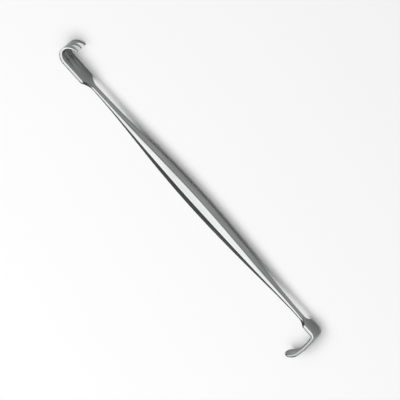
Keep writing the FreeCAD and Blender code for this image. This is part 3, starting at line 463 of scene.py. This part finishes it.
def build_rake(size):
    """The rake: three strips side by side, one for each tine, that share their borders until the gaps begin.

    A point is a row's side line moved across by its column's width. Both faces drop along an ellipse towards the
    outline, and the front also has the flutes. The rubbed wear falls off from the edges as the exponential of the
    distance, down to painted shade over the faces and darker painted shade in the flutes; the flutes' rims get a
    painted highlight.
    """
    back, front, chord, whole_chord, turned, closing = rake_sides(size)
    run = back[:, 0]
    outer = np.where(chord > -size.width, size.width / 2, shoulder_half_width(run, size))
    past = np.clip(chord / whole_chord, 0.0, None)
    root = size.gap_root / 2
    gap_middle = size.gap_root_pitch / 2
    tip_half = size.tine_tip_width / 2
    # The tine's end is rounded as seen from the front too.
    pinch = (tip_half * TIP_PINCH) * (1.0 - np.cos(closing))
    outer = outer + (size.tine_pitch + tip_half - size.width / 2) * past - pinch
    low_cut = gap_middle - root + (tip_half - gap_middle + root) * past - pinch
    high_cut = gap_middle + root + (size.tine_pitch - tip_half - gap_middle - root) * past + pinch
    opening = np.sqrt(np.maximum(root ** 2 - np.minimum(chord, 0.0) ** 2, 0.0))
    before = np.minimum(gap_middle, STRIP_BORDER * outer)
    low_cut = np.where(chord < 0.0, before - opening, low_cut)
    high_cut = np.where(chord < 0.0, before + opening, high_cut)
    is_open = chord >= -root - 1e-9

    gap_inset = np.minimum(size.gap_edge_round, MIDDLE_INSET * low_cut)
    side_inset = np.minimum(size.gap_edge_round, GAP_INSET * (outer - high_cut))
    swept = np.clip((run - size.shoulder_run + size.shoulder_round) / size.shoulder_round, 0.0, 1.0)
    back_inset = np.minimum(between(size.edge_inset, size.sweep_inset, swept),
                            OUTSIDE_INSET * (outer - high_cut))
    centre_columns = across(-low_cut, low_cut, gap_inset, gap_inset, 14)
    side_columns = across(high_cut, outer, side_inset, back_inset, 14)
    thickness = np.linalg.norm(front - back, axis=-1)[:, None]
    front_depth = np.minimum(size.front_edge_depth, FRONT_SHARE * thickness)
    front_depth = between(front_depth, SWEEP_SHARE * thickness, swept[:, None])
    gap_round = np.minimum(size.gap_edge_round, GAP_SHARE * thickness)

    along = travelled((back + front) / 2)[:, None]
    to_stem = (size.stem_run - run) / (size.stem_run - size.shoulder_run)
    # Painted shade over the plate and the tines, growing from none at the stem's end.
    painted_face_shade = size.face_painted_shade * np.clip(to_stem, 0.0, 1.0)[:, None]
    points, wear_and_painted_light, lay, faces, first = [], [], [], [], 0
    for columns in (-side_columns[:, ::-1], centre_columns, side_columns):
        reach = np.abs(columns)
        to_border = np.maximum(outer[:, None] - reach, 0.0)
        to_round = np.hypot(np.minimum(chord, 0.0)[:, None], reach - gap_middle) - root
        to_cut = np.where(reach < gap_middle, low_cut[:, None] - reach, reach - high_cut[:, None])
        to_gap = np.maximum(np.where(chord[:, None] < 0.0, to_round, to_cut), 0.0)
        gap_drop = edge_drop(to_gap, size.gap_edge_round, gap_round)
        front_drop = np.maximum(edge_drop(to_border, front_depth, front_depth), gap_drop)
        back_drop = np.maximum(edge_drop(to_border, back_inset[:, None], BACK_SHARE * thickness), gap_drop)
        wide = np.broadcast_to(front[:, None, :], columns.shape + (2,))
        flute, rim_painted_highlight = flute_carving(size, wide, turned[:, None], columns)
        lower, upper = shell_sides(np.broadcast_to(back[:, None, :], wide.shape), wide, columns,
                                   back_drop, np.maximum(front_drop, flute + front_drop * FLUTE_EDGE))
        rows, count = columns.shape
        index = first + np.arange(rows * count).reshape(rows, count)
        top = index + rows * count
        faces += [grid_faces(index), grid_faces(top), wall_faces(index[0], top[0]),
                  wall_faces(index[-1], top[-1])]
        opened = np.flatnonzero(is_open)[0]
        for column in (0, -1):
            start = opened
            if columns is not centre_columns and (column == -1) == (columns is side_columns):
                start = 0
            faces.append(wall_faces(index[start:, column], top[start:, column]))
        rub = np.exp(-np.minimum(to_border, to_gap) / size.edge_rub)
        # Darker painted shade in the flutes, growing with their depth.
        painted_flute_shade = size.flute_painted_shade * flute / size.flute_depth
        points += [lower.reshape(-1, 3), upper.reshape(-1, 3)]
        # Each point's rubbed wear at the edges, the rims' painted highlight and the faces' painted shade.
        wear_and_painted_light += [(rub * (1.0 + painted_face_shade) - painted_face_shade).ravel(),
                   (np.maximum(rub, rim_painted_highlight) * (1.0 + painted_face_shade) - painted_face_shade - painted_flute_shade).ravel()]
        lay += [lay_of(along, columns, 0.0), lay_of(along, columns, size.thickness)]
        first += 2 * rows * count
    return make_piece("rake", np.concatenate(points), np.concatenate(faces), np.concatenate(wear_and_painted_light),
                      np.concatenate(lay))


# Shaft

SHAFT_ROWS = 221
# The most of a side that a corner's rounding takes, so that neighbours' outermost columns don't meet.
CORNER_SHARE = 0.16
# The columns at a corner: how many roundings out each stands, how far round it is, and how rubbed.
CORNER_OUTSET = np.array([3.0, 2.4, 1.35, 1.0, 1.0, 1.0, 1.0, 1.0, 1.35, 2.4, 3.0])
CORNER_TURN = np.array([0.0, 0.0, 0.0, 0.0, 0.25, 0.5, 0.75, 1.0, 1.0, 1.0, 1.0])
CORNER_RUB = np.array([0.25, 0.25, 0.25, 0.6, 0.9, 1.0, 0.9, 0.6, 0.25, 0.25, 0.25])


def smooth_through(knots, values, places):
    """A natural cubic spline through the values: between two knots it is the straight line between them less
    a cubic that grows with the bending at each knot. The bendings come from one set of linear equations."""
    gaps = np.diff(knots)
    count = len(knots)
    matrix, target = np.eye(count), np.zeros(count)
    inner = np.arange(1, count - 1)
    matrix[inner, inner - 1] = gaps[:-1]
    matrix[inner, inner] = 2 * (gaps[:-1] + gaps[1:])
    matrix[inner, inner + 1] = gaps[1:]
    slopes = np.diff(values) / gaps
    target[inner] = 6 * np.diff(slopes)
    bending = np.linalg.solve(matrix, target)
    cell = np.clip(np.searchsorted(knots, places) - 1, 0, count - 2)
    right = (places - knots[cell]) / gaps[cell]
    left = 1 - right
    cubic = (left ** 3 - left) * bending[cell] + (right ** 3 - right) * bending[cell + 1]
    return left * values[cell] + right * values[cell + 1] + cubic * gaps[cell] ** 2 / 6


def build_shaft(size):
    """The shaft: a six-sided outline carried along X.

    Its width, depth and ridges are smooth curves of the place along the shaft. Each corner is a parabola that
    leaves both of its sides at the edge rounding. Its outer columns lie flat on the sides, and carry painted shade
    along the borders of the flats.
    """
    knots = np.array(size.shares[:])
    places = np.linspace(0.0, 1.0, SHAFT_ROWS)
    width, depth, ridge = [smooth_through(knots, np.array(row[:]), places) / 2
                           for row in (size.widths, size.depths, size.ridges)]
    none = np.zeros_like(places)
    corners = pairs(np.stack([depth, none, -depth, -depth, none, depth], axis=-1),
                    np.stack([width, ridge, width, -width, -ridge, -width], axis=-1))
    ahead = np.roll(corners, -1, axis=1) - corners
    behind = np.roll(corners, 1, axis=1) - corners
    long_ahead = np.linalg.norm(ahead, axis=-1, keepdims=True)
    long_behind = np.linalg.norm(behind, axis=-1, keepdims=True)
    cut = np.minimum(size.edge_round, CORNER_SHARE * np.minimum(long_ahead, long_behind))
    back_share = ((1 - CORNER_TURN) ** 2 * CORNER_OUTSET)[:, None, None, None]
    front_share = (CORNER_TURN ** 2 * CORNER_OUTSET)[:, None, None, None]
    ring = corners + back_share * cut * behind / long_behind + front_share * cut * ahead / long_ahead
    ring = ring.transpose(1, 2, 0, 3).reshape(len(places), -1, 2)
    along = between(size.start, size.end, places)
    points = np.dstack([np.broadcast_to(along[:, None], ring.shape[:2]), ring])

    rows, count = ring.shape[:2]
    index = np.arange(rows * count).reshape(rows, count)
    closed = np.concatenate([index, index[:, :1]], axis=1)
    ends = [[along[0], 0.0, 0.0], [along[-1], 0.0, 0.0]]
    middle = rows * count
    fans = [np.stack([closed[row, :-1], closed[row, 1:], np.full(count, centre)], axis=-1)
            for row, centre in ((0, middle), (-1, middle + 1))]
    faces = grid_faces(closed).tolist() + np.concatenate(fans).tolist()
    points = np.concatenate([points.reshape(-1, 3), ends])
    # Corners 0 and 3 have a flat behind them and corners 2 and 5 ahead of them, and its border gets painted shade,
    # a dark line beside the rounding.
    wear_and_border_shade = np.tile(CORNER_RUB, (6, 1))
    wear_and_border_shade[[0, 3], 1:3] = wear_and_border_shade[[2, 5], -3:-1] = -size.border_painted_shade
    wear_and_border_shade = np.concatenate([np.tile(wear_and_border_shade.ravel(), rows), [0.0, 0.0]])
    return make_piece("shaft", points, np.array(faces, dtype=object), wear_and_border_shade, points)


# Blade

# The rows stand closer from this place on the stem up to the shoulders.
CLOSE_STEM = 0.88
# How far the tongue's end stops short of the rim, and the run over which its rows close up.
SHORT_OF_RIM, END_RUN = 0.06 * MM, 0.9 * MM
# The share of the stem over which the edges change from the sweep's rounding to the plate's.
SWEEP_END = 0.2
# What a rounding takes of the thickness: at the rim, and from the hanging blade's inside.
RIM_SHARE, INSIDE_SHARE = 0.49, 0.4


def blade_sides(size, place):
    """The blade's outer and inner side points at each place along it.

    A place runs from 0 to 1 over the stem, to 2 over the plate, to 3 round the bend, to 4 down the belly, to
    5 along the curl, and straight on past 5 into the rim. Each stretch is an arc or a line on both sides,
    and each arc touches the next.
    """
    half, stem_half = size.plate_thickness / 2, size.stem_thickness / 2
    radius = size.belly_radius
    belly = np.array([size.overall_length - radius, -size.belly_depth])
    bend, corner = [
        np.array([belly[0] + math.sqrt(swing ** 2 - (up - belly[1]) ** 2), up])
        for swing, up in ((radius - size.bend_radius, half - size.bend_radius),
                          (radius - size.thickness - size.corner_radius, -half - size.corner_radius))]
    lip_from = -math.asin((size.lip_start_depth - size.belly_depth) / radius)
    lip = on_circle(belly, radius - size.lip_radius, lip_from)
    tip = on_circle(lip, size.lip_radius - size.lip_tip_radius, lip_from - size.lip_turn)
    inner_start = on_circle(belly, radius - size.thickness, lip_from)
    out = on_circle((0.0, 0.0), 1.0, lip_from)
    gap = tip - inner_start
    inner_radius = (gap @ gap - size.lip_tip_radius ** 2) / (2 * (size.lip_tip_radius - out @ gap))
    lip_inner = inner_start - out * inner_radius
    inner_to = heading(lip_inner, tip)
    bend_to, corner_to = heading(belly, bend), heading(belly, corner)

    shoulder = size.overall_length - size.shoulder_run
    stem = size.overall_length - size.stem_run
    step = [np.clip(place - number, 0.0, 1.0) for number in range(5)]
    stem_x = between(stem, shoulder, step[0])
    taper = sweep_radius(shoulder - stem, half - stem_half)
    stem_up = half - taper + np.sqrt(taper ** 2 - (shoulder - stem_x) ** 2)
    level = np.full_like(stem_x, half)
    outer = [
        pairs(stem_x, stem_up), pairs(between(shoulder, bend[0], step[1]), level),
        on_circle(bend, size.bend_radius, between(math.pi / 2, bend_to, step[2])),
        on_circle(belly, radius, between(bend_to, lip_from, step[3])),
        on_circle(lip, size.lip_radius, lip_from - size.lip_turn * step[4])]
    inner = [
        pairs(stem_x, -stem_up), pairs(between(shoulder, corner[0], step[1]), -level),
        on_circle(corner, size.corner_radius, between(math.pi / 2, corner_to, step[2])),
        on_circle(belly, radius - size.thickness, between(corner_to, lip_from, step[3])),
        on_circle(lip_inner, inner_radius, between(lip_from, inner_to, step[4]))]
    which = np.clip(np.floor(place).astype(int), 0, 4)[..., None]
    rim_outer = on_circle(lip, size.lip_radius, lip_from - size.lip_turn)
    rim_inner = on_circle(lip_inner, inner_radius, inner_to)
    square = rim_outer - rim_inner
    onward = np.array([square[1], -square[0]]) / np.linalg.norm(square)
    past = np.maximum(place - 5.0, 0.0)[..., None] * lip_length(size) * onward
    return np.choose(which, outer) + past, np.choose(which, inner) + past


def lip_length(size):
    """Length of the curl along its outer circle: the radius times the turn."""
    return size.lip_radius * size.lip_turn


def build_blade(size):
    """The blade: a strip whose rows follow its side lines and whose columns run to the tongue's round end.

    Past the belly a column ends where the tongue's circle is, and both faces close on each other there along an
    ellipse. The rubbed wear falls off from the edges as on the rake; painted shade darkens the faces, the hanging
    edges too, and the curl more than the rest.
    """
    before = np.concatenate([np.linspace(0.0, CLOSE_STEM, 18), np.linspace(CLOSE_STEM, 1.0, 8)[1:],
                             np.linspace(1.0, 2.0, 9)[1:], np.linspace(2.0, 3.0, 20)[1:],
                             np.linspace(3.0, 4.0, 22)[1:]])
    half_before = shoulder_half_width(size.overall_length - blade_sides(size, before)[0][:, 0], size)
    half_before = np.where(before > 1.5, size.width / 2, half_before)
    rim, tongue = size.lip_tip_radius, size.tongue_radius
    apex = lip_length(size) + rim - SHORT_OF_RIM
    border, inset = np.array([size.width / 2]), np.array([size.lip_edge])
    widths = across(-border, border, inset, inset, 24)[0]
    column_end = apex - tongue + np.sqrt(tongue ** 2 - widths ** 2)
    close = END_RUN * (1.0 - np.sin(np.linspace(0.0, math.pi / 2, 12)))
    spread = np.linspace(0.0, 1.0, 26)[1:-1]
    lip_places = np.concatenate([spread[:, None] * (column_end - close[0]), column_end - close[:, None]])
    place = np.concatenate([np.repeat(before[:, None], len(widths), axis=1),
                            4.0 + lip_places / lip_length(size)])
    half = np.concatenate([half_before, np.full(len(lip_places), size.width / 2)])
    columns = widths * (half / (size.width / 2))[:, None]

    outer, inner = blade_sides(size, place)
    thickness = np.linalg.norm(outer - inner, axis=-1)
    along = np.maximum((place - 4.0) * lip_length(size), 0.0)
    to_border = np.maximum(half[:, None] - np.abs(columns), 0.0)
    to_end = tongue - np.hypot(np.maximum(along - (apex - tongue), 0.0), columns)
    to_end = np.where(along > apex - tongue, np.maximum(to_end, 0.0), size.width)
    rim_drop = edge_drop(to_end, rim, RIM_SHARE * thickness)
    hanging, curled = np.clip(place - 2.0, 0.0, 1.0), np.clip(place - 4.0, 0.0, 1.0)
    outer_inset = between(size.outer_edge, size.lip_edge, curled)
    swept = np.clip((1.0 - place) / SWEEP_END, 0.0, 1.0)
    top_edge = between(size.top_edge, SWEEP_SHARE * thickness, swept)
    outer_drop = edge_drop(to_border, between(top_edge, outer_inset, hanging),
                           between(top_edge, BACK_SHARE * thickness, hanging))
    inner_drop = edge_drop(to_border, between(size.under_edge, size.inner_edge, hanging),
                           between(BACK_SHARE, INSIDE_SHARE, hanging) * thickness)
    lower, upper = shell_sides(inner, outer, columns, np.maximum(inner_drop, rim_drop),
                               np.maximum(outer_drop, rim_drop))
    rows, count = columns.shape
    index = np.arange(rows * count).reshape(rows, count)
    top = index + rows * count
    faces = [grid_faces(index), grid_faces(top), wall_faces(index[0], top[0]), wall_faces(index[-1], top[-1]),
             wall_faces(index[:, 0], top[:, 0]), wall_faces(index[:, -1], top[:, -1])]
    rub = np.exp(-np.minimum(to_border, to_end) / size.edge_rub)
    # Painted shade over the faces from the stem's start, fullest on the curl; on the hanging blade the edges get
    # painted shade instead of wear.
    painted_face_shade = between(size.face_painted_shade, 1.0, curled) * np.clip(place, 0.0, 1.0)
    at_edge = 1.0 - (1.0 + size.edge_painted_shade) * hanging
    wear_and_painted_light = rub * (at_edge + painted_face_shade) - painted_face_shade
    run = travelled((outer[:, count // 2] + inner[:, count // 2]) / 2)[:, None]
    lay = [lay_of(run, columns, 0.0), lay_of(run, columns, size.thickness)]
    return make_piece("blade", np.concatenate([lower.reshape(-1, 3), upper.reshape(-1, 3)]),
                      np.concatenate(faces), np.concatenate([wear_and_painted_light.ravel()] * 2), np.concatenate(lay))


# Materials

# Scales of the noises, in patterns per metre, and how the brushed lines are drawn out along the metal.
CLOUD_SCALE, LINE_SCALE, SPECKLE_SCALE, TABLE_SCALE = 90.0, 1200.0, 2600.0, 6.0
LINE_STRETCH = (0.03, 1.0, 1.0)
# How far the noise drives the satin tones apart, how far the wear, the painted highlight and the painted shade
# replace them, and the table's shade.
TONE_CONTRAST, WEAR_AND_PAINTED_LIGHT_SHARE, TABLE_SHADE = 2.4, 0.5, 0.985


class Link:
    """A socket's value that can stand in a Python expression; each operation adds its Math node."""

    def __init__(self, graph, socket):
        self.graph, self.socket = graph, socket

    def __add__(self, other):
        return self.graph.maths("ADD", self, other)

    def __sub__(self, other):
        return self.graph.maths("SUBTRACT", self, other)

    def __rsub__(self, other):
        return self.graph.maths("SUBTRACT", other, self)

    def __mul__(self, other):
        return self.graph.maths("MULTIPLY", self, other)

    __radd__ = __add__
    __rmul__ = __mul__


class Graph:
    """The nodes of one material or world."""

    def __init__(self, owner):
        owner.use_nodes = True
        self.tree = owner.node_tree
        self.tree.nodes.clear()

    def node(self, kind, settings=None, inputs=None, output=0):
        """Add a node: its settings first, then the values or links of its sockets. Gives one output."""
        made = self.tree.nodes.new(kind)
        for name, value in (settings or {}).items():
            setattr(made, name, value)
        for name, value in (inputs or {}).items():
            socket = made.inputs[name]
            if isinstance(value, Link):
                self.tree.links.new(value.socket, socket)
            else:
                socket.default_value = value
        return Link(self, made.outputs[output]) if made.outputs else None

    def maths(self, operation, first, second):
        """One Math node on two links or numbers."""
        return self.node("ShaderNodeMath", {"operation": operation}, {0: first, 1: second})

    def blend(self, factor, first, second):
        """A colour between two colours."""
        return self.node("ShaderNodeMix", {"data_type": "RGBA"}, {0: factor, 6: first, 7: second}, output=2)

    def noise(self, coordinates, scale, stretch=(1.0, 1.0, 1.0), detail=2.0):
        """Noise of a scale, after its pattern has been stretched."""
        mapped = self.node("ShaderNodeMapping", {}, {"Vector": coordinates, "Scale": stretch})
        return self.node("ShaderNodeTexNoise", {}, {"Vector": mapped, "Scale": scale, "Detail": detail})


def rgba(value):
    """A colour with full alpha."""
    return (*value, 1.0)


def satin_steel(name, finish):
    """Satin stainless steel: fine brushed lines and faint clouding, brighter where the value for wear and painted
    light is above zero, and darker with painted shade where it is below. A Mix node stops its factor at zero, so
    each of the two blends works on one side only."""
    material = bpy.data.materials.new(name)
    graph = Graph(material)
    place = graph.node("ShaderNodeTexCoord", output=3)
    wear_and_painted_light = graph.node("ShaderNodeAttribute", {"attribute_name": "wear_and_painted_light"}, output=2)
    clouds = graph.noise(place, CLOUD_SCALE, detail=3.0)
    lay = graph.node("ShaderNodeAttribute", {"attribute_name": "lay"}, output=1)
    lines = graph.noise(lay, LINE_SCALE, stretch=LINE_STRETCH, detail=3.0)
    speckle = graph.noise(place, SPECKLE_SCALE, detail=1.0)
    satin = (clouds * 0.35 + lines * 0.65 - 0.5) * TONE_CONTRAST + 0.5
    face = graph.blend(satin, rgba(finish.shade), rgba(finish.base))
    # Rubbed wear and painted highlight where the value is above zero, painted shade where it is below.
    burnished_and_highlit = graph.blend(wear_and_painted_light * WEAR_AND_PAINTED_LIGHT_SHARE, face, rgba(finish.bright))
    tone = graph.blend(wear_and_painted_light * -WEAR_AND_PAINTED_LIGHT_SHARE, burnished_and_highlit, rgba(finish.painted_shade))
    roughness = (clouds - 0.5) * 0.1 + (lines - 0.5) * 0.12 + finish.roughness
    roughness = roughness - wear_and_painted_light * (finish.roughness - finish.edge_roughness)
    height = lines * 0.7 + speckle * 0.3
    bump = graph.node("ShaderNodeBump", {}, {"Strength": finish.grain, "Distance": 0.02 * MM, "Height": height})
    shader = graph.node("ShaderNodeBsdfPrincipled", {}, {
        "Base Color": tone, "Metallic": 1.0, "Roughness": roughness, "Normal": bump})
    graph.node("ShaderNodeOutputMaterial", {}, {"Surface": shader})
    return material


def floor_material(studio):
    """Plain pale table with a barely uneven surface."""
    material = bpy.data.materials.new("pale_table")
    graph = Graph(material)
    place = graph.node("ShaderNodeTexCoord", output=3)
    clouds = graph.noise(place, TABLE_SCALE)
    tone = graph.blend(clouds, rgba(studio.floor), rgba([value * TABLE_SHADE for value in studio.floor]))
    shader = graph.node("ShaderNodeBsdfPrincipled", {}, {
        "Base Color": tone, "Roughness": 0.85, "Specular IOR Level": 0.1})
    graph.node("ShaderNodeOutputMaterial", {}, {"Surface": shader})
    return material


# Studio

# Sines of the elevations between which the sky turns from dim to bright.
SKY_FROM, SKY_TO = 0.45, 0.85
# The drawing's point that the photograph shows in its middle.
AIMED_AT = Vector((84.73, 0.917, -0.917)) * MM


def make_floor(studio):
    """A wide flat table top at the height where the instrument rests."""
    half = 4.0
    mesh = bpy.data.meshes.new("table_top")
    corners = [(-half, -half, 0.0), (half, -half, 0.0), (half, half, 0.0), (-half, half, 0.0)]
    mesh.from_pydata(corners, [], [(0, 1, 2, 3)])
    floor = add_object("table_top", mesh)
    mesh.materials.append(floor_material(studio))


def make_lamp(studio):
    """A wide soft lamp that gives off a plain level of light, aimed at the instrument.

    Its power is pi times its area times the level.
    """
    light = bpy.data.lights.new("soft_lamp", "AREA")
    light.shape = "RECTANGLE"
    light.size, light.size_y = studio.lamp_width, studio.lamp_height
    light.energy = math.pi * light.size * light.size_y * studio.lamp_level
    lamp = add_object("soft_lamp", light)
    level = math.cos(studio.lamp_elevation)
    away = Vector((math.sin(studio.lamp_azimuth) * level, -math.cos(studio.lamp_azimuth) * level,
                   math.sin(studio.lamp_elevation)))
    lamp.location = away * studio.lamp_distance
    lamp.rotation_euler = away.to_track_quat("Z", "Y").to_euler()


def make_sky(studio):
    """Soft surroundings: dim near the horizon and brighter overhead."""
    world = bpy.data.worlds.new("studio")
    bpy.context.scene.world = world
    graph = Graph(world)
    direction = graph.node("ShaderNodeTexCoord", output=0)
    height = graph.node("ShaderNodeSeparateXYZ", {}, {0: direction}, output=2)
    rise = graph.node("ShaderNodeMapRange", {"interpolation_type": "SMOOTHSTEP"}, {
        "Value": height, "From Min": SKY_FROM, "From Max": SKY_TO,
        "To Min": studio.sky_low, "To Max": studio.sky_high})
    shader = graph.node("ShaderNodeBackground", {}, {"Color": (1.0, 1.0, 1.0, 1.0), "Strength": rise})
    graph.node("ShaderNodeOutputWorld", {}, {"Surface": shader})


def make_camera():
    """The photograph's view: from the front at 45 degrees, turned so that the instrument runs down to the
    right, with a long lens."""
    # Which way the instrument's axis and the direction across it run there, to the right and down.
    along, aside = (0.6697, 0.7427), (0.7427, -0.6697)
    photo_width, pixels_per_metre = 400.0, 2415.5
    lens, sensor = 1500.0, 36.0
    distance = photo_width / pixels_per_metre * lens / sensor
    across_view = Vector((0.0, math.sqrt(0.5), -math.sqrt(0.5)))
    long_view = Vector((1.0, 0.0, 0.0))
    right = long_view * along[0] + across_view * aside[0]
    up = -(long_view * along[1] + across_view * aside[1])
    back = right.cross(up)
    target = Vector(DRAWN_AT.tolist()) + AIMED_AT
    data = bpy.data.cameras.new("camera")
    data.lens, data.sensor_width = lens, sensor
    data.clip_start, data.clip_end = 0.01, 50.0
    camera = add_object("camera", data)
    turn = Matrix((right, up, back)).transposed()
    camera.matrix_world = Matrix.Translation(target + back * distance) @ turn.to_4x4()
    bpy.context.scene.camera = camera


# Add-on


def add_steel(piece, scene):
    """Give a piece its satin steel."""
    piece.data.materials.append(satin_steel(piece.name + "_steel", scene.retractor_steel))


class RETRACTOR_OT_rake(Operator):
    """Add the three-tined rake with its plate, flutes and shoulders"""

    bl_idname = "retractor.rake"
    bl_label = "Add rake"

    def execute(self, context):
        add_steel(build_rake(context.scene.retractor_rake), context.scene)
        return {"FINISHED"}


class RETRACTOR_OT_shaft(Operator):
    """Add the six-sided spindle shaft"""

    bl_idname = "retractor.shaft"
    bl_label = "Add shaft"

    def execute(self, context):
        add_steel(build_shaft(context.scene.retractor_shaft), context.scene)
        return {"FINISHED"}


class RETRACTOR_OT_blade(Operator):
    """Add the curved blade with its curled lip"""

    bl_idname = "retractor.blade"
    bl_label = "Add blade"

    def execute(self, context):
        add_steel(build_blade(context.scene.retractor_blade), context.scene)
        return {"FINISHED"}


class RETRACTOR_OT_stage(Operator):
    """Add the table, the soft light and the camera"""

    bl_idname = "retractor.stage"
    bl_label = "Add stage"

    def execute(self, context):
        studio = context.scene.retractor_studio
        make_floor(studio)
        make_lamp(studio)
        make_sky(studio)
        make_camera()
        context.scene.view_settings.view_transform = "Standard"
        return {"FINISHED"}


class RETRACTOR_PT_panel(Panel):
    """Lists the pieces and their sizes"""

    bl_idname = "RETRACTOR_PT_panel"
    bl_label = "Hand retractor"
    bl_space_type = "VIEW_3D"
    bl_region_type = "UI"
    bl_category = "Retractor"

    def draw(self, context):
        for operator in OPERATORS:
            self.layout.operator(operator.bl_idname)
        for name in SETTINGS:
            box = self.layout.box()
            group = getattr(context.scene, name)
            for key in group.__annotations__:
                box.prop(group, key)


OPERATORS = (RETRACTOR_OT_rake, RETRACTOR_OT_shaft, RETRACTOR_OT_blade, RETRACTOR_OT_stage)
SETTINGS = {
    "retractor_rake": RakeSizes,
    "retractor_shaft": ShaftSizes,
    "retractor_blade": BladeSizes,
    "retractor_steel": SteelFinish,
    "retractor_studio": StudioSettings,
}


def register():
    """Register the classes and hang the settings on the scene."""
    for group in (*SETTINGS.values(), *OPERATORS, RETRACTOR_PT_panel):
        bpy.utils.register_class(group)
    for name, group in SETTINGS.items():
        setattr(bpy.types.Scene, name, PointerProperty(type=group))


def unregister():
    """Take the settings and the classes away again."""
    for name in SETTINGS:
        delattr(bpy.types.Scene, name)
    for group in (RETRACTOR_PT_panel, *OPERATORS, *SETTINGS.values()):
        bpy.utils.unregister_class(group)


def main():
    """Build every piece."""
    register()
    bpy.ops.retractor.rake()
    bpy.ops.retractor.shaft()
    bpy.ops.retractor.blade()
    bpy.ops.retractor.stage()


if __name__ == "__main__":
    main()
